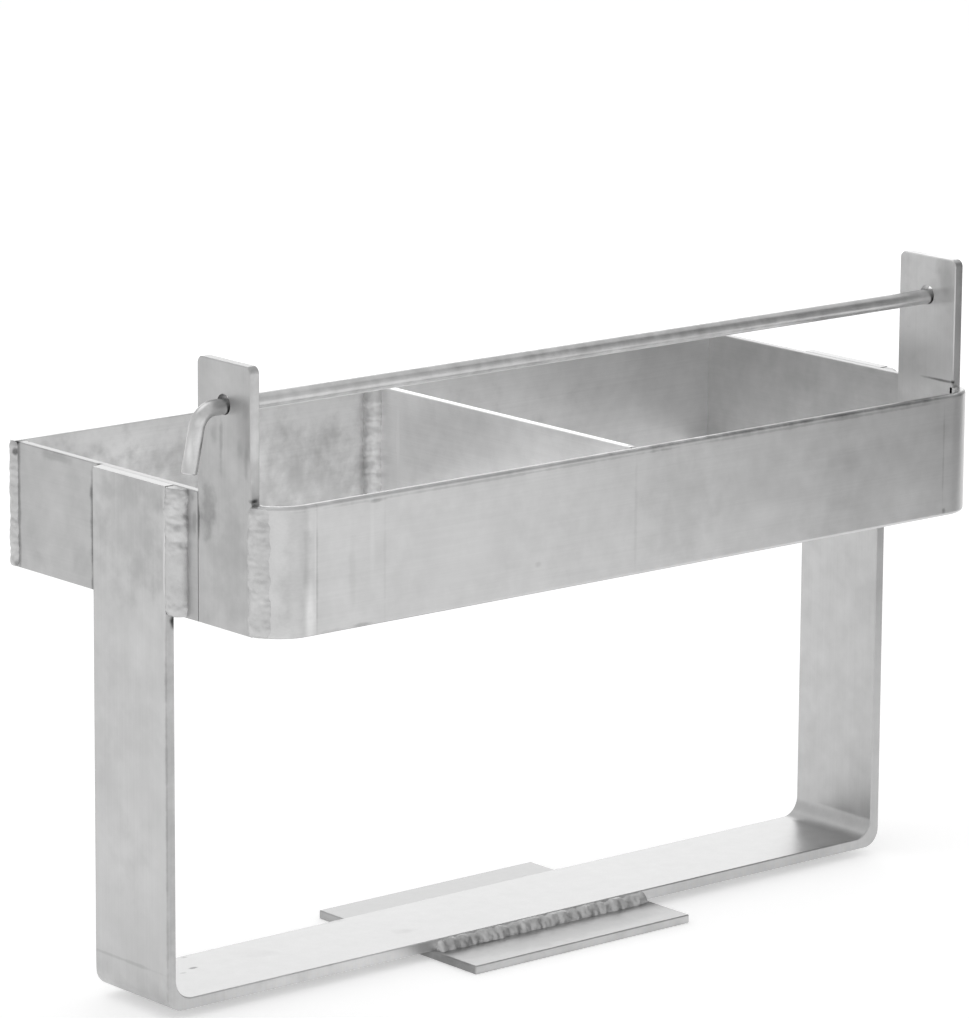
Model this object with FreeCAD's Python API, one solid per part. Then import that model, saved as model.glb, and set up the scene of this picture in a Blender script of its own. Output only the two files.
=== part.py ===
import FreeCAD
import Part
import math
import os

os.makedirs("parts", exist_ok=True)

# Overall sizes of the rack, in millimetres
rack_length = 660.0
rack_depth = 297.0
wall_height = 90.0
strap_drop = 281.0

# Flat bar stock
bar_thickness = 6.4
heavy_bar_thickness = 7.9
bar_edge_radius = 0.8
cut_edge_chamfer = 0.7
band_edge_radius = 2.4

# Front band with its bent corners
band_corner_radius = 30.0
band_end_angle = 22.0

# Upright lugs at both ends
lug_width = 58.0
lug_setback = 23.0
lug_rise = 93.0
lug_corner_radius = 5.0
lug_hole_diameter = 14.3
lug_hole_below_top = 29.0

# Divider between the two cells, measured from the middle of the rack
divider_offset = -5.3
divider_front_gap = 1.6

# Bent strap that carries both cells
strap_width = 82.0
strap_bend_radius = 22.0

# Base plate under the strap
base_plate_length = 203.2
base_plate_depth = 178.0
base_plate_thickness = 6.4

# Hooked rod through both lugs
rod_diameter = 11.0
rod_seat_clearance = 0.35
rod_bend_radius = 15.0
rod_bend_angle = 78.0
rod_hook_standoff = 8.0
rod_hook_leg = 31.0
rod_end_overhang = 18.0
rod_end_chamfer = 0.8
pin_hole_diameter = 6.0
pin_hole_from_end = 8.0

# Weld beads, turned round their own axes and cut off where they meet the bars
ripple_valley = 0.9
ripple_spread = 0.05
ripple_phase = 2.4
ripple_crest_place = 0.65
ripple_pitch = 7.0
upright_taper = 5.0
weld_end_inset = 1.5
strap_weld_radius = 11.3
strap_weld_inward = 2.0
strap_weld_forward = 5.5
band_weld_radius = 11.0
band_weld_inward = 9.5
band_weld_forward = 1.5
band_weld_lap = 3.0
corner_weld_radius = 6.0
corner_weld_inward = 3.6
corner_weld_inset = 4.5
divider_weld_radius = 8.6
divider_weld_offset = 1.2
divider_front_weld_radius = 5.0
divider_front_weld_offset = 0.6
base_weld_radius = 8.4
base_weld_offset = 0.9

# Levels and faces that follow from the sizes
half_length = rack_length / 2.0
half_depth = rack_depth / 2.0
strap_under = base_plate_thickness
strap_top = strap_under + heavy_bar_thickness
wall_bottom = strap_under + strap_drop
wall_top = wall_bottom + wall_height
lug_top = wall_top + lug_rise
lug_front = -half_depth + lug_setback
lug_back = lug_front + lug_width
rod_y = lug_front + lug_width / 2.0
hole_z = lug_top - lug_hole_below_top
rod_radius = rod_diameter / 2.0
hole_radius = lug_hole_diameter / 2.0
rod_z = hole_z - (hole_radius - rod_radius - rod_seat_clearance)
band_inner_y = -half_depth + bar_thickness
back_inner_y = half_depth - bar_thickness
divider_left_x = divider_offset - bar_thickness / 2.0
divider_right_x = divider_offset + bar_thickness / 2.0
half_strap = strap_width / 2.0
half_base = base_plate_length / 2.0

axis_x = FreeCAD.Vector(1, 0, 0)
axis_y = FreeCAD.Vector(0, 1, 0)
axis_z = FreeCAD.Vector(0, 0, 1)
origin = FreeCAD.Vector(0, 0, 0)


def block(x0, x1, y0, y1, z0, z1):
    corner = FreeCAD.Vector(x0, y0, z0)
    return Part.makeBox(x1 - x0, y1 - y0, z1 - z0, corner)


def edges_along(solid, axis):
    found = []
    for edge in solid.Edges:
        if edge.Curve.TypeId != "Part::GeomLine":
            continue
        run = edge.Vertexes[1].Point.sub(edge.Vertexes[0].Point)
        if abs(run.dot(axis)) > 0.999 * run.Length:
            found.append(edge)
    return found


def flat_bar(x0, x1, y0, y1, z0, z1, axis, radius):
    bar = block(x0, x1, y0, y1, z0, z1)
    return bar.makeFillet(radius, edges_along(bar, axis))


def face_at(solid, axis, level):
    for face in solid.Faces:
        middle = face.CenterOfMass
        flat = face.Surface.TypeId == "Part::GeomPlane"
        if flat and abs(middle.dot(axis) - level) < 1e-6:
            return face
    return None


def mirrored(shape):
    return shape.mirror(origin, axis_x)


def join(pieces):
    whole = pieces[0]
    for piece in pieces[1:]:
        whole = whole.fuse(piece)
    return whole.removeSplitter()


# A bead's outline is turned round its axis, which then runs from the start along the direction
def turned_bead(corners, start, direction):
    outline = Part.Face(Part.makePolygon(corners))
    bead = outline.revolve(origin, axis_z, 360)
    turn = FreeCAD.Rotation(axis_z, direction)
    bead.Placement = FreeCAD.Placement(start, turn)
    return bead


# A rippled outline rises and falls once a ripple, to crests of slightly uneven height
def rippled_bead(start, direction, length, radius):
    count = round(length / ripple_pitch)
    step = length / count
    valley = radius * ripple_valley
    corners = [origin, FreeCAD.Vector(valley, 0, 0)]
    for index in range(count):
        crest = radius * (1.0 + ripple_spread * math.sin(ripple_phase * index))
        corners.append(FreeCAD.Vector(crest, 0, (index + ripple_crest_place) * step))
        corners.append(FreeCAD.Vector(valley, 0, (index + 1) * step))
    corners.append(FreeCAD.Vector(0, 0, length))
    corners.append(origin)
    return turned_bead(corners, start, direction)


# An upright bead is even, with a short taper at both ends
def upright_bead(x, y, radius, z0, z1):
    length = z1 - z0
    valley = radius * ripple_valley
    corners = [
        origin,
        FreeCAD.Vector(valley, 0, 0),
        FreeCAD.Vector(radius, 0, upright_taper),
        FreeCAD.Vector(radius, 0, length - upright_taper),
        FreeCAD.Vector(valley, 0, length),
        FreeCAD.Vector(0, 0, length),
        origin,
    ]
    return turned_bead(corners, FreeCAD.Vector(x, y, z0), axis_z)


# Walls of the two cells
back_plate = flat_bar(
    -half_length, half_length, back_inner_y, half_depth, wall_bottom, wall_top, axis_x, bar_edge_radius
)
left_side_plate = flat_bar(
    -half_length,
    -half_length + bar_thickness,
    lug_back,
    back_inner_y,
    wall_bottom,
    wall_top,
    axis_y,
    bar_edge_radius,
)
right_side_plate = mirrored(left_side_plate)
divider = flat_bar(
    divider_left_x,
    divider_right_x,
    band_inner_y + divider_front_gap,
    back_inner_y,
    wall_bottom,
    wall_top,
    axis_y,
    bar_edge_radius,
)

# Front band: one flat bar bent round both front corners
corner_x = half_length - band_corner_radius
corner_y = -half_depth + band_corner_radius
band_straight = flat_bar(
    -corner_x, corner_x, -half_depth, band_inner_y, wall_bottom, wall_top, axis_x, band_edge_radius
)
band_end = face_at(band_straight, axis_x, corner_x)
corner_axis = FreeCAD.Vector(corner_x, corner_y, 0)
right_corner = band_end.revolve(corner_axis, axis_z, 90.0 - band_end_angle)
left_corner = mirrored(right_corner)
front_band = join([band_straight, right_corner, left_corner])

# Lugs with a drilled hole for the rod
right_lug_blank = block(
    half_length - heavy_bar_thickness, half_length, lug_front, lug_back, wall_bottom, lug_top
)
top_corners = []
for edge in edges_along(right_lug_blank, axis_x):
    if edge.CenterOfMass.z > wall_top:
        top_corners.append(edge)
right_lug_blank = right_lug_blank.makeFillet(lug_corner_radius, top_corners)
outline_edges = []
for edge in right_lug_blank.Edges:
    along_thickness = edge.BoundBox.XLength > bar_edge_radius
    if not along_thickness:
        outline_edges.append(edge)
right_lug_blank = right_lug_blank.makeChamfer(cut_edge_chamfer, outline_edges)
hole_start = FreeCAD.Vector(half_length - 2.0 * heavy_bar_thickness, rod_y, hole_z)
hole_cutter = Part.makeCylinder(hole_radius, 3.0 * heavy_bar_thickness, hole_start, axis_x)
right_lug = right_lug_blank.cut(hole_cutter)
left_lug = mirrored(right_lug)

# Support strap: one flat bar bent to a U, its legs outside the side plates
bend_x = half_length + heavy_bar_thickness - strap_bend_radius
bend_z = strap_under + strap_bend_radius
strap_blank = block(-bend_x, bend_x, -half_strap, half_strap, strap_under, strap_top)
strap_floor = strap_blank.makeChamfer(cut_edge_chamfer, edges_along(strap_blank, axis_x))
floor_end = face_at(strap_floor, axis_x, bend_x)
bend_axis = FreeCAD.Vector(bend_x, 0, bend_z)
right_bend = floor_end.revolve(bend_axis, axis_y, -90)
leg_start = face_at(right_bend, axis_z, bend_z)
right_leg = leg_start.extrude(axis_z * (wall_top - bend_z))
support_strap = join([strap_floor, right_bend, right_leg, mirrored(right_bend), mirrored(right_leg)])

# Base plate
base_blank = block(
    -half_base, half_base, -base_plate_depth / 2.0, base_plate_depth / 2.0, 0, base_plate_thickness
)
base_plate = base_blank.makeChamfer(cut_edge_chamfer, base_blank.Edges)

# Hooked rod, resting low in both holes
rod_end_x = half_length + rod_end_overhang
hook_x = -half_length - rod_hook_standoff
straight_start = FreeCAD.Vector(hook_x, rod_y, rod_z)
rod_straight = Part.makeCylinder(rod_radius, rod_end_x - hook_x, straight_start, axis_x)
end_edges = []
for edge in rod_straight.Edges:
    if edge.BoundBox.XMin > half_length:
        end_edges.append(edge)
rod_straight = rod_straight.makeChamfer(rod_end_chamfer, end_edges)
bend_face = face_at(rod_straight, axis_x, hook_x)
hook_axis = FreeCAD.Vector(hook_x, rod_y, rod_z - rod_bend_radius)
rod_bend = bend_face.revolve(hook_axis, axis_y, -rod_bend_angle)
bend_turn = math.radians(rod_bend_angle)
leg_x = hook_x - rod_bend_radius * math.sin(bend_turn)
leg_z = rod_z - rod_bend_radius * (1.0 - math.cos(bend_turn))
leg_direction = FreeCAD.Vector(-math.cos(bend_turn), 0, -math.sin(bend_turn))
leg_origin = FreeCAD.Vector(leg_x, rod_y, leg_z)
rod_leg = Part.makeCylinder(rod_radius, rod_hook_leg, leg_origin, leg_direction)
leg_end = leg_origin + leg_direction * rod_hook_leg
tip_edges = []
for edge in rod_leg.Edges:
    if edge.CenterOfMass.distanceToPoint(leg_end) < rod_radius / 2.0:
        tip_edges.append(edge)
rod_leg = rod_leg.makeChamfer(rod_end_chamfer, tip_edges)
pin_start = FreeCAD.Vector(rod_end_x - pin_hole_from_end, rod_y, rod_z - rod_diameter)
pin_hole = Part.makeCylinder(pin_hole_diameter / 2.0, 2.0 * rod_diameter, pin_start, axis_z)
lock_rod = join([rod_straight, rod_bend, rod_leg]).cut(pin_hole)

# Rear corner welds, on the outside of the joint between back plate and side plate
weld_low = wall_bottom + weld_end_inset
weld_high = wall_top - weld_end_inset
corner_weld_x = half_length - corner_weld_inward
corner_weld_y = half_depth - corner_weld_inset
corner_bead = upright_bead(
    corner_weld_x, corner_weld_y, corner_weld_radius, weld_low, weld_high
)
outside_wall = block(
    half_length, half_length + strap_width, corner_y, half_depth, wall_bottom, wall_top
)
right_rear_corner_weld = corner_bead.common(outside_wall)
left_rear_corner_weld = mirrored(right_rear_corner_weld)

# Strap welds, in the corner between each side plate and the front edge of its strap leg
strap_bead = upright_bead(
    half_length - strap_weld_inward,
    -half_strap - strap_weld_forward,
    strap_weld_radius,
    weld_low,
    weld_high,
)
beside_strap = block(
    half_length, half_length + strap_width, corner_y, -half_strap, wall_bottom, wall_top
)
right_strap_weld = strap_bead.common(beside_strap)
left_strap_weld = mirrored(right_strap_weld)

# Band welds, filling the joint between each band end and the front edge of its lug
band_bead = upright_bead(
    half_length - band_weld_inward,
    lug_front - band_weld_forward,
    band_weld_radius,
    weld_low,
    weld_high,
)
round_joint = block(
    half_length - heavy_bar_thickness,
    half_length + strap_width,
    -half_depth,
    lug_front + band_weld_lap,
    wall_bottom,
    wall_top,
)
right_band_weld = band_bead.common(round_joint).cut(front_band).cut(right_lug)
left_band_weld = mirrored(right_band_weld)

# Divider welds, a fillet on each side at the back plate and at the front band
rear_bead = upright_bead(
    divider_left_x - divider_weld_offset,
    back_inner_y - divider_weld_offset,
    divider_weld_radius,
    weld_low,
    weld_high,
)
left_of_divider = block(-half_length, divider_left_x, -half_depth, back_inner_y, wall_bottom, wall_top)
divider_rear_weld_left = rear_bead.common(left_of_divider)
right_rear_bead = upright_bead(
    divider_right_x + divider_weld_offset,
    back_inner_y - divider_weld_offset,
    divider_weld_radius,
    weld_low,
    weld_high,
)
right_of_divider = block(divider_right_x, half_length, band_inner_y, back_inner_y, wall_bottom, wall_top)
divider_rear_weld_right = right_rear_bead.common(right_of_divider)
front_low = wall_bottom + band_edge_radius
front_high = wall_top - band_edge_radius
left_front_bead = upright_bead(
    divider_left_x - divider_front_weld_offset,
    band_inner_y + divider_front_weld_offset,
    divider_front_weld_radius,
    front_low,
    front_high,
)
inside_band_left = block(
    -half_length, divider_left_x, band_inner_y, back_inner_y, wall_bottom, wall_top
)
divider_front_weld_left = left_front_bead.common(inside_band_left)
right_front_bead = upright_bead(
    divider_right_x + divider_front_weld_offset,
    band_inner_y + divider_front_weld_offset,
    divider_front_weld_radius,
    front_low,
    front_high,
)
divider_front_weld_right = right_front_bead.common(right_of_divider)

# Base plate welds, along both edges of the strap
base_weld_length = base_plate_length - 4.0 * weld_end_inset
base_weld_start = FreeCAD.Vector(
    -base_weld_length / 2.0, -half_strap + base_weld_offset, strap_under - base_weld_offset
)
front_base_bead = rippled_bead(base_weld_start, axis_x, base_weld_length, base_weld_radius)
above_plate = block(
    -half_base, half_base, -base_plate_depth / 2.0, -half_strap, strap_under, strap_top
)
base_plate_front_weld = front_base_bead.common(above_plate)
base_plate_rear_weld = base_plate_front_weld.mirror(origin, axis_y)

pieces = {
    "back_plate": back_plate,
    "left_side_plate": left_side_plate,
    "right_side_plate": right_side_plate,
    "divider": divider,
    "front_band": front_band,
    "left_lug": left_lug,
    "right_lug": right_lug,
    "support_strap": support_strap,
    "base_plate": base_plate,
    "lock_rod": lock_rod,
    "left_rear_corner_weld": left_rear_corner_weld,
    "right_rear_corner_weld": right_rear_corner_weld,
    "left_strap_weld": left_strap_weld,
    "right_strap_weld": right_strap_weld,
    "left_band_weld": left_band_weld,
    "right_band_weld": right_band_weld,
    "divider_rear_weld_left": divider_rear_weld_left,
    "divider_rear_weld_right": divider_rear_weld_right,
    "divider_front_weld_left": divider_front_weld_left,
    "divider_front_weld_right": divider_front_weld_right,
    "base_plate_front_weld": base_plate_front_weld,
    "base_plate_rear_weld": base_plate_rear_weld,
}
for name, shape in pieces.items():
    shape.exportStep("parts/" + name + ".step")
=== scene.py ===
import math

import bpy
import bmesh
from mathutils import Matrix, Vector, noise


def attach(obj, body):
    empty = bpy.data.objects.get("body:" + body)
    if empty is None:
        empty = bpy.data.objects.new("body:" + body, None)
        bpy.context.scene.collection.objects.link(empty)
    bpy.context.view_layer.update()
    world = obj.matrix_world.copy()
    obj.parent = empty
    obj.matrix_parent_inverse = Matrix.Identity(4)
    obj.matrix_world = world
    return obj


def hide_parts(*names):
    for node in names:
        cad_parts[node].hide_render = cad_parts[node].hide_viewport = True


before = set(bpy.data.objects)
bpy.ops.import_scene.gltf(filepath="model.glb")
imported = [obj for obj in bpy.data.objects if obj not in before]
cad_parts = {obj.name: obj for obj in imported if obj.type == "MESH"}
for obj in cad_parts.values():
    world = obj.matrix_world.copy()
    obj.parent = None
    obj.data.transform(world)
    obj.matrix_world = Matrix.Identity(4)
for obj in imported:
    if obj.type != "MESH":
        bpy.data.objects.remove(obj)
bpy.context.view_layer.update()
scene = bpy.context.scene
scene.view_settings.view_transform = "Standard"

# Sizes shared by several pieces, in metres
HALF_LENGTH = 0.330
HALF_DEPTH = 0.1485
WALL_LOW = 0.2874
WALL_HIGH = 0.3774
BAR = 0.0064
HEAVY_BAR = 0.0079
STRAP_FRONT = -0.041
STRAP_TOP = 0.0143
LUG_FRONT = -0.1255
DIVIDER_LEFT = -0.0085
DIVIDER_RIGHT = -0.0021

# Shares and scales inside the metal's pattern
NOISE_LOW = 0.3
NOISE_HIGH = 0.7
NOISE_ROUGHNESS = 0.55
PATCH_FINER = 4.3
PATCH_SHARE = 0.8
FINE_GRAIN = 900.0
ROUGH_SHARE = 0.3
SPOT_WOBBLE = 0.3
SPOT_CORE = 0.2
DARKEST = 0.03
BUMP_DISTANCE = 0.001


# Material building

def add(tree, kind, place, **settings):
    node = tree.nodes.new(kind)
    node.location = place
    for key, value in settings.items():
        setattr(node, key, value)
    return node


def join(tree, start, end):
    tree.links.new(start, end)


def math_node(tree, operation, place, first, second=None):
    node = add(tree, "ShaderNodeMath", place, operation=operation)
    for socket, value in zip(node.inputs, (first, second)):
        if value is None:
            continue
        if isinstance(value, (int, float)):
            socket.default_value = value
        else:
            join(tree, value, socket)
    return node.outputs[0]


def stretched_noise(tree, coords, place, stretch, scale, detail):
    mapping = add(tree, "ShaderNodeMapping", (place[0] - 200, place[1]))
    mapping.inputs["Scale"].default_value = stretch
    join(tree, coords, mapping.inputs["Vector"])
    field = add(tree, "ShaderNodeTexNoise", place)
    field.inputs["Scale"].default_value = scale
    field.inputs["Detail"].default_value = detail
    field.inputs["Roughness"].default_value = NOISE_ROUGHNESS
    join(tree, mapping.outputs[0], field.inputs["Vector"])
    return field.outputs["Fac"]


def map_range(tree, value, place, low, high, out_low, out_high, smooth=False):
    node = add(tree, "ShaderNodeMapRange", place)
    if smooth:
        node.interpolation_type = "SMOOTHSTEP"
    node.inputs["From Min"].default_value = low
    node.inputs["From Max"].default_value = high
    node.inputs["To Min"].default_value = out_low
    node.inputs["To Max"].default_value = out_high
    join(tree, value, node.inputs["Value"])
    return node.outputs["Result"]


def spot_field(tree, coords, spots, place, wobble):
    """Adds up soft spots, each a middle, a reach along X, Y and Z, and a strength."""
    total = None
    for number, (middle, reach, strength) in enumerate(spots):
        y = place[1] - 180 * number
        away = add(tree, "ShaderNodeVectorMath", (place[0], y), operation="SUBTRACT")
        join(tree, coords, away.inputs[0])
        away.inputs[1].default_value = middle
        scaled = add(tree, "ShaderNodeVectorMath", (place[0] + 160, y), operation="DIVIDE")
        join(tree, away.outputs[0], scaled.inputs[0])
        scaled.inputs[1].default_value = reach
        length = add(tree, "ShaderNodeVectorMath", (place[0] + 320, y), operation="LENGTH")
        join(tree, scaled.outputs[0], length.inputs[0])
        ragged = math_node(tree, "ADD", (place[0] + 480, y), length.outputs["Value"], wobble)
        part = map_range(
            tree, ragged, (place[0] + 640, y), SPOT_CORE, 1.0, strength, 0.0, smooth=True
        )
        if total is None:
            total = part
        else:
            total = math_node(tree, "ADD", (place[0] + 800, y), total, part)
    return total


def metal(
    name,
    tone,
    grain,
    spots,
    roughness=0.36,
    grain_depth=0.035,
    cloud=0.09,
    cloud_scale=14.0,
    lines=0.024,
):
    """Mill-finish aluminium: rolled grain along the bar, cloudy tone, and marks, painted shade and
    painted highlights at given places.
    """
    material = bpy.data.materials.new(name)
    material.use_nodes = True
    tree = material.node_tree
    shader = tree.nodes["Principled BSDF"]
    shader.inputs["Metallic"].default_value = 1.0
    coords = add(tree, "ShaderNodeTexCoord", (-2200, 0)).outputs["Object"]
    cloudy = stretched_noise(tree, coords, (-1500, 300), (1, 1, 1), cloud_scale, 4.0)
    patchy = stretched_noise(tree, coords, (-1500, 0), (1, 1, 1), cloud_scale * PATCH_FINER, 4.0)
    streaks = stretched_noise(tree, coords, (-1500, -300), grain, 1.0, 3.0)
    fine = stretched_noise(tree, coords, (-1500, -600), (1, 1, 1), FINE_GRAIN, 2.0)
    shade = map_range(tree, cloudy, (-1200, 300), NOISE_LOW, NOISE_HIGH, -cloud, cloud)
    spread = cloud * PATCH_SHARE
    patch = map_range(tree, patchy, (-1200, 0), NOISE_LOW, NOISE_HIGH, -spread, spread)
    streak = map_range(tree, streaks, (-1200, -300), NOISE_LOW, NOISE_HIGH, -lines, lines)
    change = math_node(tree, "ADD", (-1000, 200), shade, patch)
    change = math_node(tree, "ADD", (-1000, 0), change, streak)
    rough_change = math_node(tree, "MULTIPLY", (-1000, -200), change, ROUGH_SHARE)
    wobble = map_range(
        tree, patchy, (-1700, -900), NOISE_LOW, NOISE_HIGH, -SPOT_WOBBLE, SPOT_WOBBLE
    )
    # Marks in the metal together with painted shade and painted highlights, from the tables below
    marks_and_painted_light = spot_field(tree, coords, spots, (-1500, -1100), wobble)
    change = math_node(tree, "ADD", (-800, 0), change, marks_and_painted_light)
    brightness = math_node(tree, "ADD", (-700, 0), change, 1.0)
    brightness = math_node(tree, "MAXIMUM", (-600, 0), brightness, DARKEST)
    colour = add(tree, "ShaderNodeVectorMath", (-400, 100), operation="SCALE")
    colour.inputs[0].default_value = (tone, tone, tone)
    join(tree, brightness, colour.inputs["Scale"])
    join(tree, colour.outputs[0], shader.inputs["Base Color"])
    rough = math_node(tree, "ADD", (-400, -150), rough_change, roughness)
    join(tree, rough, shader.inputs["Roughness"])
    height = math_node(tree, "ADD", (-600, -400), streaks, fine)
    bump = add(tree, "ShaderNodeBump", (-300, -400))
    bump.inputs["Strength"].default_value = grain_depth
    bump.inputs["Distance"].default_value = BUMP_DISTANCE
    join(tree, height, bump.inputs["Height"])
    join(tree, bump.outputs["Normal"], shader.inputs["Normal"])
    return material


# Marks in the metal together with painted shade and painted highlights, one a line: its middle and
# its reach along X, Y and Z in metres, and the share by which it is lighter or darker

BAND_FRONT = -HALF_DEPTH
BAND_MARKS_AND_PAINTED_LIGHT = (
    # Painted reflection: a darker column in the bend of the left corner
    ((-0.3060, -0.1470, 0.3320), (0.0150, 0.020, 0.090), -0.17),
    # Painted shade along the band's top edge, heavier on the right half
    ((0.1700, -0.1455, 0.3776), (0.2300, 0.008, 0.0034), -0.55),
    ((-0.1500, -0.1455, 0.3776), (0.2300, 0.008, 0.0026), -0.18),
    # Painted reflections in the bend of the left corner: lighter and darker columns and a bright
    # painted highlight low down
    ((-0.3084, -0.1470, 0.3320), (0.0070, 0.012, 0.070), 0.10),
    ((-0.3010, BAND_FRONT, 0.3380), (0.0035, 0.012, 0.055), -0.05),
    ((-0.2985, BAND_FRONT, 0.3040), (0.0064, 0.010, 0.028), 0.32),
    ((-0.2980, BAND_FRONT, 0.3500), (0.0050, 0.010, 0.045), 0.07),
    # Die line at the end of the left bend, and faint streaks
    ((-0.2936, BAND_FRONT, 0.3320), (0.0011, 0.010, 0.060), 0.07),
    ((-0.2921, BAND_FRONT, 0.3320), (0.0012, 0.010, 0.060), -0.16),
    ((-0.2620, BAND_FRONT, 0.3300), (0.0040, 0.010, 0.050), -0.05),
    ((-0.2450, BAND_FRONT, 0.3500), (0.0030, 0.010, 0.045), 0.05),
    ((-0.2340, BAND_FRONT, 0.3300), (0.0016, 0.010, 0.060), -0.05),
    # Painted shade along the rounded top and bottom edges of the front face
    ((-0.2406, BAND_FRONT, 0.3728), (0.0100, 0.006, 0.0018), -0.30),
    ((-0.1200, BAND_FRONT, 0.3737), (0.2200, 0.006, 0.0013), -0.20),
    ((0.1600, BAND_FRONT, 0.3737), (0.1800, 0.006, 0.0016), -0.24),
    ((-0.2540, BAND_FRONT, 0.2893), (0.0120, 0.006, 0.0024), -0.25),
    ((-0.2800, BAND_FRONT, 0.2890), (0.0180, 0.006, 0.0020), -0.12),
    # Patches of tone, small dark marks, and the die line at the right bend with a dark spot at its
    # foot
    ((-0.1650, BAND_FRONT, 0.3290), (0.0450, 0.006, 0.0300), 0.05),
    ((-0.0980, BAND_FRONT, 0.3080), (0.0040, 0.006, 0.0030), -0.12),
    ((-0.0088, BAND_FRONT, 0.3320), (0.0020, 0.006, 0.060), -0.07),
    ((0.0360, BAND_FRONT, 0.3330), (0.0420, 0.006, 0.060), -0.05),
    ((0.1150, BAND_FRONT, 0.3150), (0.0260, 0.006, 0.0120), 0.08),
    ((0.2913, BAND_FRONT, 0.3320), (0.0012, 0.010, 0.060), -0.14),
    ((0.2928, BAND_FRONT, 0.2918), (0.0025, 0.006, 0.0030), -0.40),
)
SIDE_FACE = -HALF_LENGTH
SIDE_MARKS_AND_PAINTED_SHADE = (
    # Painted shadow beside the strap's rear edge, and painted shade under the top edge
    ((SIDE_FACE, 0.0512, 0.3320), (0.004, 0.0040, 0.080), -0.55),
    ((SIDE_FACE, 0.0930, 0.3738), (0.004, 0.0340, 0.0050), -0.16),
    # Patches of tone, and a dark spot at the top of the rear corner
    ((SIDE_FACE, 0.1050, 0.3400), (0.004, 0.0280, 0.0260), 0.05),
    ((SIDE_FACE, 0.1120, 0.2960), (0.004, 0.0120, 0.0080), -0.10),
    ((SIDE_FACE, 0.0620, 0.3060), (0.004, 0.0160, 0.0200), -0.05),
    ((-0.3262, 0.1400, 0.3774), (0.006, 0.0045, 0.0030), -0.80),
    # Painted shade in the crease beside the rear corner weld, in the gap at the top of the strap's
    # rear edge, and beside the strap weld
    ((SIDE_FACE, 0.1378, 0.3320), (0.004, 0.0026, 0.0900), -0.38),
    ((-0.3290, 0.0440, 0.3774), (0.0040, 0.0040, 0.0030), -0.85),
    ((SIDE_FACE, -0.0620, 0.3720), (0.004, 0.0040, 0.0050), -0.30),
    ((SIDE_FACE, -0.0640, 0.3560), (0.004, 0.0030, 0.0100), -0.22),
)
LUG_MARKS_AND_PAINTED_LIGHT = (
    # Painted shade beside and in the seam between the side plate and the left lug
    ((SIDE_FACE, -0.0784, 0.3700), (0.005, 0.0105, 0.0270), -0.33),
    ((SIDE_FACE, -0.0687, 0.3560), (0.005, 0.0013, 0.0260), -0.50),
    # A darker streak under the hole, and a painted shadow of the hook beside it
    ((SIDE_FACE, -0.0935, 0.4150), (0.005, 0.0030, 0.0230), -0.22),
    ((SIDE_FACE, -0.0859, 0.4210), (0.005, 0.0055, 0.0110), -0.16),
    # Darker and lighter patches on the left lug
    ((SIDE_FACE, -0.1141, 0.4134), (0.005, 0.0050, 0.0100), -0.14),
    ((SIDE_FACE, -0.1207, 0.4040), (0.005, 0.0035, 0.0130), -0.16),
    ((SIDE_FACE, -0.1207, 0.4420), (0.005, 0.0040, 0.0120), -0.08),
    ((SIDE_FACE, -0.1060, 0.3980), (0.005, 0.0090, 0.0150), 0.08),
    ((SIDE_FACE, -0.1100, 0.3300), (0.005, 0.0400, 0.0600), -0.07),
    # Painted highlight on the left lug's front edge, and painted shade in the gap at its foot
    ((-0.3262, -0.1272, 0.4250), (0.012, 0.0027, 0.0800), 0.50),
    ((-0.3268, LUG_FRONT, 0.3800), (0.0050, 0.0040, 0.0026), -0.85),
    # Painted light over the right lug's inner face
    ((0.3240, -0.0980, 0.4300), (0.009, 0.0700, 0.0900), 0.36),
    # Painted shade along the right lug's foot and in the corner at its front
    ((0.3220, -0.1120, 0.3799), (0.003, 0.0200, 0.0014), -0.70),
    ((0.3220, -0.1262, 0.3800), (0.003, 0.0030, 0.0024), -0.80),
    # Darker patches on the right lug
    ((0.3220, -0.1160, 0.4560), (0.003, 0.0120, 0.0200), -0.30),
    ((0.3220, -0.0900, 0.3930), (0.003, 0.0500, 0.0240), -0.20),
)
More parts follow.
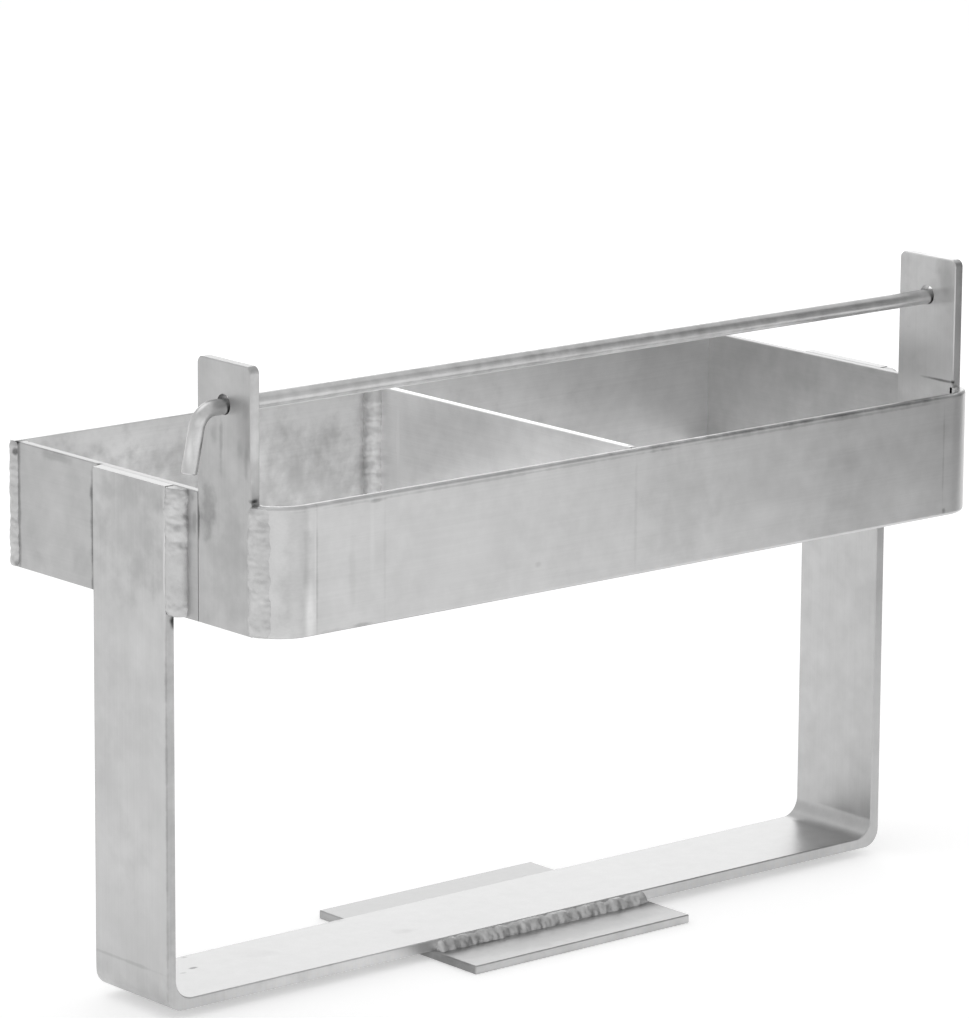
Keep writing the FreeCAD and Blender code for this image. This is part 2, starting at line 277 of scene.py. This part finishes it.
STRAP_MARKS_AND_PAINTED_LIGHT = (
    # Painted shade in the gap at the top of the strap's rear edge
    ((-0.3350, 0.0415, 0.3770), (0.005, 0.0040, 0.0040), -0.80),
    # Die line at the bottom bend
    ((-0.3379, 0.0140, 0.0335), (0.004, 0.0700, 0.0017), -0.15),
    # Painted shade along the front edge
    ((-0.3372, STRAP_FRONT, 0.1500), (0.0012, 0.0022, 0.2000), -0.18),
    # Slightly darker along the bottom bend, and a pit at the foot of the weld
    ((-0.3379, 0.0000, 0.0180), (0.006, 0.0700, 0.0140), -0.06),
    ((-0.3308, STRAP_FRONT, 0.2820), (0.0035, 0.0030, 0.0060), -0.75),
    # Painted highlight along the upper part of the front edge
    ((-0.3375, STRAP_FRONT, 0.3330), (0.0016, 0.0022, 0.0700), 0.35),
    # Darker towards the top of the leg
    ((-0.3379, 0.0000, 0.3500), (0.004, 0.0600, 0.0700), -0.13),
    # Painted shade along the front edge, and a painted highlight along the front edge of the floor
    ((-0.3340, STRAP_FRONT, 0.1500), (0.009, 0.0016, 0.2000), -0.14),
    ((-0.1000, STRAP_FRONT, 0.0100), (0.300, 0.0016, 0.0120), 0.30),
    # Patches of tone, and stains on the floor's top
    ((-0.3379, -0.0100, 0.2500), (0.004, 0.0300, 0.0400), 0.04),
    ((-0.3379, 0.0200, 0.1500), (0.004, 0.0200, 0.0500), -0.04),
    ((-0.3379, 0.0000, 0.1050), (0.004, 0.0700, 0.1000), 0.07),
    ((-0.2748, 0.0129, STRAP_TOP), (0.0045, 0.0020, 0.003), -0.60),
    ((-0.2646, 0.0368, STRAP_TOP), (0.0035, 0.0024, 0.003), -0.28),
    ((-0.2874, 0.0079, STRAP_TOP), (0.0040, 0.0020, 0.003), -0.24),
    ((-0.1033, -0.0108, STRAP_TOP), (0.0130, 0.0070, 0.003), -0.12),
    ((-0.1258, 0.0400, STRAP_TOP), (0.0140, 0.0060, 0.003), -0.12),
    ((-0.2200, 0.0100, STRAP_TOP), (0.0260, 0.0120, 0.003), -0.05),
)
PLATE_MARKS_AND_PAINTED_LIGHT = (
    # Painted shade on the left end face under the strap, and over the front of the top
    ((-0.1018, -0.0650, 0.0030), (0.0014, 0.0500, 0.012), -0.32),
    ((0.0000, -0.0700, 0.0064), (0.1300, 0.0180, 0.003), -0.14),
    # A dark line in front of the weld
    ((-0.0560, -0.0500, 0.0064), (0.0140, 0.0018, 0.004), -0.45),
    # Painted highlight along the front face
    ((0.0000, -0.0900, 0.0030), (0.2500, 0.0030, 0.010), 0.42),
)
BACK_INNER = HALF_DEPTH - BAR
BACK_MARKS_AND_PAINTED_SHADE = (
    # Painted shade low down on the inner face
    ((-0.2000, BACK_INNER, 0.2960), (0.4000, 0.010, 0.0850), -0.27),
    # Streaks and patches of tone
    ((-0.1700, BACK_INNER, 0.3400), (0.0060, 0.010, 0.0700), -0.07),
    ((-0.2300, BACK_INNER, 0.3600), (0.0300, 0.010, 0.0200), 0.04),
    ((-0.2850, BACK_INNER, 0.3450), (0.0700, 0.010, 0.0550), -0.11),
)
DIVIDER_MARKS = (
    ((DIVIDER_LEFT, 0.1135, 0.3407), (0.003, 0.0030, 0.0400), 0.10),
    ((DIVIDER_LEFT, 0.0500, 0.2980), (0.003, 0.0800, 0.0260), -0.06),
    ((-0.0040, -0.1370, 0.3774), (0.005, 0.0040, 0.0016), -0.50),
)
WELD_MARKS_AND_PAINTED_HIGHLIGHTS = (
    # Pits and lighter blobs in the left strap weld
    ((-0.3320, -0.0544, 0.3705), (0.006, 0.0042, 0.0036), -0.30),
    ((-0.3350, -0.0522, 0.3495), (0.006, 0.0050, 0.0044), -0.30),
    ((-0.3330, -0.0546, 0.3383), (0.006, 0.0046, 0.0040), -0.22),
    ((-0.3350, -0.0480, 0.3620), (0.006, 0.0040, 0.0060), 0.12),
    ((-0.3340, -0.0500, 0.3530), (0.012, 0.0120, 0.0320), 0.10),
    ((-0.3350, -0.0500, 0.2925), (0.010, 0.0060, 0.0040), 0.10),
    # Pits at the ends of the left rear corner weld, and a darker foot and lighter top on the left
    # band weld
    ((-0.3310, 0.1405, 0.3703), (0.006, 0.0026, 0.0030), -0.50),
    ((-0.3310, 0.1400, 0.2890), (0.006, 0.0030, 0.0040), -0.45),
    ((-0.3260, -0.1300, 0.2890), (0.006, 0.0050, 0.0025), -0.30),
    ((-0.3230, -0.1320, 0.3755), (0.012, 0.0100, 0.0045), 0.40),
    # Painted highlight on the divider's rear weld
    ((-0.0050, 0.1380, 0.3320), (0.030, 0.0200, 0.0900), 0.32),
    ((-0.0120, 0.1380, 0.3327), (0.008, 0.0080, 0.0060), 0.20),
    # Painted highlight on the base weld's left end, then a darker stretch
    ((-0.0984, -0.0440, 0.0090), (0.0030, 0.0100, 0.0080), 0.25),
    ((-0.0830, -0.0440, 0.0090), (0.0180, 0.0100, 0.0080), -0.10),
    # Painted highlights on the lumps of the base weld
    ((-0.0545, -0.0470, 0.0100), (0.0070, 0.0080, 0.0050), 0.24),
    ((-0.0167, -0.0470, 0.0100), (0.0070, 0.0080, 0.0050), 0.28),
    ((0.0118, -0.0470, 0.0100), (0.0060, 0.0080, 0.0050), 0.22),
)

ROD_PAINTED_LIGHT = (
    # Painted shade and painted highlights on the hook's leg
    ((-0.3520, -0.1003, 0.4130), (0.0036, 0.0036, 0.0230), -0.45),
    ((-0.3606, -0.0989, 0.4130), (0.0032, 0.0032, 0.0230), 0.30),
    ((-0.3530, -0.1008, 0.4330), (0.0060, 0.0026, 0.0040), 0.25),
    # Painted reflection that darkens the middle of the rod
    ((0.0400, -0.0965, 0.4400), (0.1800, 0.0200, 0.0200), -0.10),
)

ALONG_X = (9.0, 700.0, 700.0)
ALONG_Y = (700.0, 9.0, 700.0)
ALONG_Z = (700.0, 700.0, 9.0)
EVEN = (220.0, 220.0, 220.0)

band_metal = metal("band_mill_finish_and_painted_light", 0.61, ALONG_X, BAND_MARKS_AND_PAINTED_LIGHT, cloud=0.06)
back_metal = metal("back_plate_mill_finish_and_painted_shade", 0.77, ALONG_X, BACK_MARKS_AND_PAINTED_SHADE, cloud=0.06)
side_metal = metal("side_plate_mill_finish_and_painted_shade", 0.46, ALONG_Y, SIDE_MARKS_AND_PAINTED_SHADE)
divider_metal = metal("divider_mill_finish", 0.9, ALONG_Y, DIVIDER_MARKS, cloud=0.06)
strap_metal = metal("strap_mill_finish_and_painted_light", 0.515, ALONG_Z, STRAP_MARKS_AND_PAINTED_LIGHT, cloud=0.08)
lug_metal = metal("lug_mill_finish_and_painted_light", 0.465, ALONG_Z, LUG_MARKS_AND_PAINTED_LIGHT)
plate_metal = metal("base_plate_mill_finish_and_painted_light", 0.42, ALONG_X, PLATE_MARKS_AND_PAINTED_LIGHT)
rod_metal = metal(
    "rod_drawn_finish_and_painted_light", 0.62, ALONG_X, ROD_PAINTED_LIGHT, roughness=0.33, cloud=0.14, cloud_scale=20.0
)
weld_metal = metal(
    "weld_bead_metal", 0.56, EVEN, WELD_MARKS_AND_PAINTED_HIGHLIGHTS, roughness=0.45, grain_depth=0.2, lines=0.06
)


def coat(piece, material):
    piece.data.materials.clear()
    piece.data.materials.append(material)


def dress_node(node, material):
    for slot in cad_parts[node].material_slots:
        slot.material = material


# Bars with bends or rounded edges are shown as smooth-shaded copies of their CAD nodes
SAME_POINT = 0.000002
FLAT_DEGREES = 0.05
CREASE_DEGREES = 32.0
FLAT_FACE_WEIGHT = 80


def smooth_copy(node, body, material):
    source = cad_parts[node]
    mesh = bpy.data.meshes.new(node + "_skin")
    shape = bmesh.new()
    shape.from_mesh(source.data)
    bmesh.ops.remove_doubles(shape, verts=shape.verts, dist=SAME_POINT)
    bmesh.ops.dissolve_limit(
        shape, angle_limit=math.radians(FLAT_DEGREES), verts=shape.verts, edges=shape.edges
    )
    for face in shape.faces:
        face.smooth = True
    for edge in shape.edges:
        edge.smooth = edge.calc_face_angle(0.0) < math.radians(CREASE_DEGREES)
    shape.to_mesh(mesh)
    shape.free()
    piece = bpy.data.objects.new(node + "_skin", mesh)
    scene.collection.objects.link(piece)
    coat(piece, material)
    weighted = piece.modifiers.new("flat_faces_stay_flat", "WEIGHTED_NORMAL")
    weighted.keep_sharp = True
    weighted.weight = FLAT_FACE_WEIGHT
    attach(piece, body)
    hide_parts(node)
    return piece


dress_node("back_plate", back_metal)
dress_node("left_side_plate", side_metal)
dress_node("right_side_plate", side_metal)
dress_node("divider", divider_metal)
dress_node("base_plate", plate_metal)
smooth_copy("front_band", "rack", band_metal)
strap_skin = smooth_copy("support_strap", "rack", strap_metal)
smooth_copy("left_lug", "rack", lug_metal)
smooth_copy("right_lug", "rack", lug_metal)
smooth_copy("lock_rod", "rod", rod_metal)

# The strap's two bends are drawn tighter on the outside than the plain bend of its bar
BEND_RADIUS = 0.022
BEND_X = HALF_LENGTH + HEAVY_BAR - BEND_RADIUS
BEND_Z = BAR + BEND_RADIUS
CORNER_RADIUS = 0.0135
CORNER_SHARE = 0.1

for vertex in strap_skin.data.vertices:
    side = math.copysign(1.0, vertex.co.x)
    away = abs(vertex.co.x) - BEND_X
    down = BEND_Z - vertex.co.z
    if min(away, down) < -0.00001 or math.hypot(away, down) < BEND_RADIUS - 0.001:
        continue
    part = math.atan2(max(0.0, down), max(0.0, away)) / (math.pi / 2.0)
    flat = BEND_RADIUS - CORNER_RADIUS
    if part < CORNER_SHARE:
        away, down = BEND_RADIUS, flat * part / CORNER_SHARE
    elif part > 1.0 - CORNER_SHARE:
        away, down = flat * (1.0 - part) / CORNER_SHARE, BEND_RADIUS
    else:
        angle = (part - CORNER_SHARE) / (1.0 - 2.0 * CORNER_SHARE) * math.pi / 2.0
        away = flat + CORNER_RADIUS * math.cos(angle)
        down = flat + CORNER_RADIUS * math.sin(angle)
    vertex.co.x = side * (BEND_X + away)
    vertex.co.z = BEND_Z - down


# Weld beads
BEAD_SIDES = 44
SLICE = 0.0008
DRIFT_SHARE = 0.8
DRIFT_SCALE = 60.0
DRIFT_ROW = 3.1
LAG_SHARE = 0.55
END_DROP = 0.2
END_REACH = 0.4
END_LEAST = 0.02
WIDE_LUMPS = 110.0
SMALL_LUMPS = 340.0
SMALL_SHARE = 0.45
BEAD_CREASE_DEGREES = 50.0
SINK = 0.0002


def read_profile(points, part):
    """Value at one part of the length, on straight lines between the given points."""
    for (start, low), (stop, high) in zip(points, points[1:]):
        if part <= stop:
            return low + (high - low) * max(0.0, part - start) / (stop - start)
    return points[-1][1]


def weld_bead(
    node,
    start,
    end,
    radius,
    cuts,
    pitch,
    facing,
    seed,
    ridge=0.03,
    lump=0.0009,
    width=((0, 1), (1, 1)),
    rough=((0, 1), (1, 1)),
):
    """A lumpy bead round the line from start to end, cut off inside the bars it joins.

    width and rough are profiles along the bead, of its thickness and of its lumps.
    """
    start = Vector(start)
    end = Vector(end)
    length = (end - start).length
    along = (end - start).normalized()
    out = Vector(facing).normalized()
    across = along.cross(out)
    shape = bmesh.new()
    bmesh.ops.create_cone(
        shape,
        cap_ends=True,
        cap_tris=False,
        segments=BEAD_SIDES,
        radius1=radius,
        radius2=radius,
        depth=length,
    )
    long_edges = []
    for edge in shape.edges:
        if abs(edge.verts[0].co.z - edge.verts[1].co.z) > length * 0.5:
            long_edges.append(edge)
    bmesh.ops.subdivide_edges(
        shape, edges=long_edges, cuts=int(length / SLICE), use_grid_fill=True
    )
    for vertex in shape.verts:
        height = vertex.co.z + length / 2.0
        turn = math.atan2(vertex.co.y, vertex.co.x)
        radial = math.hypot(vertex.co.x, vertex.co.y) / radius
        drift = DRIFT_SHARE * pitch * noise.noise(Vector((seed, height * DRIFT_SCALE, DRIFT_ROW)))
        lag = LAG_SHARE * pitch * (1.0 - math.cos(turn))
        crest = 0.5 - 0.5 * math.cos(2.0 * math.pi * (height + lag + drift) / pitch)
        lumpy = read_profile(rough, height / length)
        size = radius * (1.0 - ridge * lumpy * (1.0 - crest))
        size *= read_profile(width, height / length)
        end_gap = min(height, length - height)
        rounding = min(1.0, end_gap / (radius * END_REACH) + END_LEAST)
        size *= 1.0 - END_DROP + END_DROP * math.sqrt(rounding)
        direction = out * math.cos(turn) + across * math.sin(turn)
        place = start + along * height + direction * (size * radial)
        wide = noise.noise(place * WIDE_LUMPS + Vector((seed, 0.0, seed)))
        small = noise.noise(place * SMALL_LUMPS + Vector((seed, seed, seed)))
        swell = lump * lumpy * (wide + SMALL_SHARE * small)
        vertex.co = place + direction * radial * swell
    for point, normal in cuts:
        everything = list(shape.verts) + list(shape.edges) + list(shape.faces)
        result = bmesh.ops.bisect_plane(
            shape,
            geom=everything,
            plane_co=point,
            plane_no=normal,
            clear_outer=True,
            dist=0.000001,
        )
        rim = [part for part in result["geom_cut"] if isinstance(part, bmesh.types.BMEdge)]
        bmesh.ops.holes_fill(shape, edges=rim, sides=0)
    bmesh.ops.recalc_face_normals(shape, faces=shape.faces)
    for face in shape.faces:
        face.smooth = True
    for edge in shape.edges:
        edge.smooth = edge.calc_face_angle(0.0) < math.radians(BEAD_CREASE_DEGREES)
    mesh = bpy.data.meshes.new(node + "_bead")
    shape.to_mesh(mesh)
    shape.free()
    piece = bpy.data.objects.new(node + "_bead", mesh)
    scene.collection.objects.link(piece)
    coat(piece, weld_metal)
    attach(piece, "rack")
    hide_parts(node)


for side, name in ((-1, "left"), (1, "right")):
    outer_x = side * (HALF_LENGTH - SINK)
    weld_bead(
        name + "_strap_weld",
        (side * 0.328, -0.0455, WALL_LOW + 0.0008),
        (side * 0.328, -0.0455, WALL_HIGH - 0.0004),
        radius=0.0108,
        cuts=[((outer_x, 0, 0), (-side, 0, 0)), ((0, STRAP_FRONT + SINK, 0), (0, 1, 0))],
        pitch=0.009,
        lump=0.0014,
        facing=(side, -1, 0),
        seed=2.0 + side,
        width=((0, 1.02), (0.1, 1.02), (0.16, 0.99), (0.48, 0.99), (0.56, 1.02), (1, 1.03)),
        rough=((0, 1), (0.1, 1), (0.16, 0.2), (0.46, 0.2), (0.54, 1.1), (1, 1.2)),
    )
    weld_bead(
        name + "_band_weld",
        (side * 0.3205, LUG_FRONT - 0.0015, WALL_LOW + 0.0006),
        (side * 0.3205, LUG_FRONT - 0.0015, WALL_HIGH - 0.0014),
        radius=0.0109 if side < 0 else 0.0088,
        cuts=[
            ((side * (HALF_LENGTH - HEAVY_BAR), 0, 0), (-side, 0, 0)),
            ((0, LUG_FRONT + 0.003, 0), (0, 1, 0)),
        ],
        pitch=0.0046,
        ridge=0.008,
        lump=0.0009,
        facing=(side, -0.6, 0),
        seed=7.0 + side,
    )
    weld_bead(
        name + "_rear_corner_weld",
        (side * 0.3264, 0.144, WALL_LOW + 0.0006),
        (side * 0.3264, 0.144, WALL_HIGH - 0.0006),
        radius=0.006,
        cuts=[((outer_x, 0, 0), (-side, 0, 0)), ((0, HALF_DEPTH - 0.00001, 0), (0, 1, 0))],
        pitch=0.006,
        lump=0.0007,
        facing=(side, 0, 0),
        seed=11.0 + side,
    )

for side, name in ((-1, "left"), (1, "right")):
    face_x = DIVIDER_LEFT if side < 0 else DIVIDER_RIGHT
    weld_bead(
        "divider_rear_weld_" + name,
        (face_x + side * 0.0012, HALF_DEPTH - BAR - 0.0012, WALL_LOW + 0.001),
        (face_x + side * 0.0012, HALF_DEPTH - BAR - 0.0012, WALL_HIGH - 0.001),
        radius=0.0084,
        cuts=[
            ((face_x - side * SINK, 0, 0), (-side, 0, 0)),
            ((0, HALF_DEPTH - BAR + SINK, 0), (0, 1, 0)),
        ],
        pitch=0.008,
        facing=(side, -1, 0),
        seed=15.0 + side,
    )
    weld_bead(
        "divider_front_weld_" + name,
        (face_x + side * 0.0006, -HALF_DEPTH + BAR + 0.0006, WALL_LOW + 0.0024),
        (face_x + side * 0.0006, -HALF_DEPTH + BAR + 0.0006, WALL_HIGH - 0.0024),
        radius=0.005,
        cuts=[
            ((face_x - side * SINK, 0, 0), (-side, 0, 0)),
            ((0, -HALF_DEPTH + BAR - SINK, 0), (0, -1, 0)),
        ],
        pitch=0.006,
        lump=0.0006,
        facing=(side, 1, 0),
        seed=19.0 + side,
    )

for side, name in ((-1, "front"), (1, "rear")):
    weld_bead(
        "base_plate_" + name + "_weld",
        (-0.0986, side * 0.0401, 0.0055),
        (0.0986, side * 0.0401, 0.0055),
        radius=0.0084,
        cuts=[
            ((0, 0, BAR - SINK), (0, 0, -1)),
            ((0, side * (0.041 - SINK), 0), (0, -side, 0)),
            ((0, 0, STRAP_TOP - 0.0005), (0, 0, 1)),
        ],
        pitch=0.0095,
        ridge=0.05,
        lump=0.0011,
        facing=(0, side, 1),
        seed=23.0 + side,
    )

# Floor, world and lamps
FLOOR_HALF = 9.0
FLOOR_GLOW = 0.33
ROOM_LIGHT = 0.75

floor_mesh = bpy.data.meshes.new("studio_floor")
floor_shape = bmesh.new()
bmesh.ops.create_grid(floor_shape, x_segments=1, y_segments=1, size=FLOOR_HALF)
floor_shape.to_mesh(floor_mesh)
floor_shape.free()
floor = bpy.data.objects.new("studio_floor", floor_mesh)
scene.collection.objects.link(floor)

floor_paint = bpy.data.materials.new("floor_paint")
floor_paint.use_nodes = True
floor_shader = floor_paint.node_tree.nodes["Principled BSDF"]
floor_shader.inputs["Base Color"].default_value = (0.9, 0.9, 0.9, 1)
floor_shader.inputs["Roughness"].default_value = 0.9
floor_shader.inputs["Specular IOR Level"].default_value = 0.0
floor_shader.inputs["Emission Color"].default_value = (1, 1, 1, 1)
floor_shader.inputs["Emission Strength"].default_value = FLOOR_GLOW
coat(floor, floor_paint)

world = bpy.data.worlds.new("studio")
scene.world = world
world.use_nodes = True
background = world.node_tree.nodes["Background"]
background.inputs["Color"].default_value = (1, 1, 1, 1)
background.inputs["Strength"].default_value = ROOM_LIGHT


def soft_lamp(name, place, aim, size, power):
    lamp = bpy.data.lights.new(name, "AREA")
    lamp.shape = "RECTANGLE"
    lamp.size = size[0]
    lamp.size_y = size[1]
    lamp.energy = power
    holder = bpy.data.objects.new(name, lamp)
    holder.location = place
    holder.rotation_euler = (Vector(aim) - Vector(place)).to_track_quat("-Z", "Y").to_euler()
    scene.collection.objects.link(holder)


def grey_card(name, place, aim, size, tone):
    """A plain matt card on edge, facing the object, that shades one side of the room."""
    mesh = bpy.data.meshes.new(name)
    shape = bmesh.new()
    bmesh.ops.create_grid(shape, x_segments=1, y_segments=1, size=0.5)
    facing = (Vector(aim) - Vector(place)).to_track_quat("Z", "Y").to_matrix().to_4x4()
    stretch = Matrix.Diagonal((size[0], size[1], 1.0, 1.0))
    placing = Matrix.Translation(place) @ facing @ stretch
    bmesh.ops.transform(shape, matrix=placing, verts=shape.verts)
    shape.to_mesh(mesh)
    shape.free()
    card = bpy.data.objects.new(name, mesh)
    scene.collection.objects.link(card)
    paint = bpy.data.materials.new(name + "_paint")
    paint.use_nodes = True
    shader = paint.node_tree.nodes["Principled BSDF"]
    shader.inputs["Base Color"].default_value = (tone, tone, tone, 1)
    shader.inputs["Roughness"].default_value = 0.9
    coat(card, paint)
    card.visible_camera = False
    card.visible_diffuse = False
    card.visible_shadow = False


MIDDLE = (0, 0, 0.2)
soft_lamp("top_softbox", place=(-0.5, 0.9, 2.4), aim=MIDDLE, size=(1.6, 1.6), power=5.0)
soft_lamp("back_softbox", place=(2.3, 2.9, 1.25), aim=MIDDLE, size=(3.2, 1.4), power=17.0)
grey_card(
    "right_card", place=(1.4, -0.52, 0.8), aim=(0.755, 0.244, 0.8), size=(1.5, 1.6), tone=0.24
)

# Camera at the photograph's viewing angle
VIEW_TURN = math.radians(-40.20656)
VIEW_RISE = math.radians(12.55983)
VIEW_ROLL = math.radians(0.37383)
CAMERA_PLACE = (-2.57986, -3.02699, 1.19365)
FOCAL_LENGTH = 210.9245
SENSOR_WIDTH = 36.0
FARTHEST = 50.0

back = Vector(
    (
        math.sin(VIEW_TURN) * math.cos(VIEW_RISE),
        -math.cos(VIEW_TURN) * math.cos(VIEW_RISE),
        math.sin(VIEW_RISE),
    )
)
level_right = Vector((math.cos(VIEW_TURN), math.sin(VIEW_TURN), 0.0))
level_up = back.cross(level_right)
camera_right = level_right * math.cos(VIEW_ROLL) + level_up * math.sin(VIEW_ROLL)
camera_up = level_up * math.cos(VIEW_ROLL) - level_right * math.sin(VIEW_ROLL)
lens = bpy.data.cameras.new("view_camera")
lens.sensor_fit = "HORIZONTAL"
lens.sensor_width = SENSOR_WIDTH
lens.lens = FOCAL_LENGTH
lens.clip_end = FARTHEST
camera = bpy.data.objects.new("view_camera", lens)
turn = Matrix((camera_right, camera_up, back)).transposed().to_4x4()
camera.matrix_world = Matrix.Translation(CAMERA_PLACE) @ turn
scene.collection.objects.link(camera)
scene.camera = camera

bpy.context.view_layer.update()
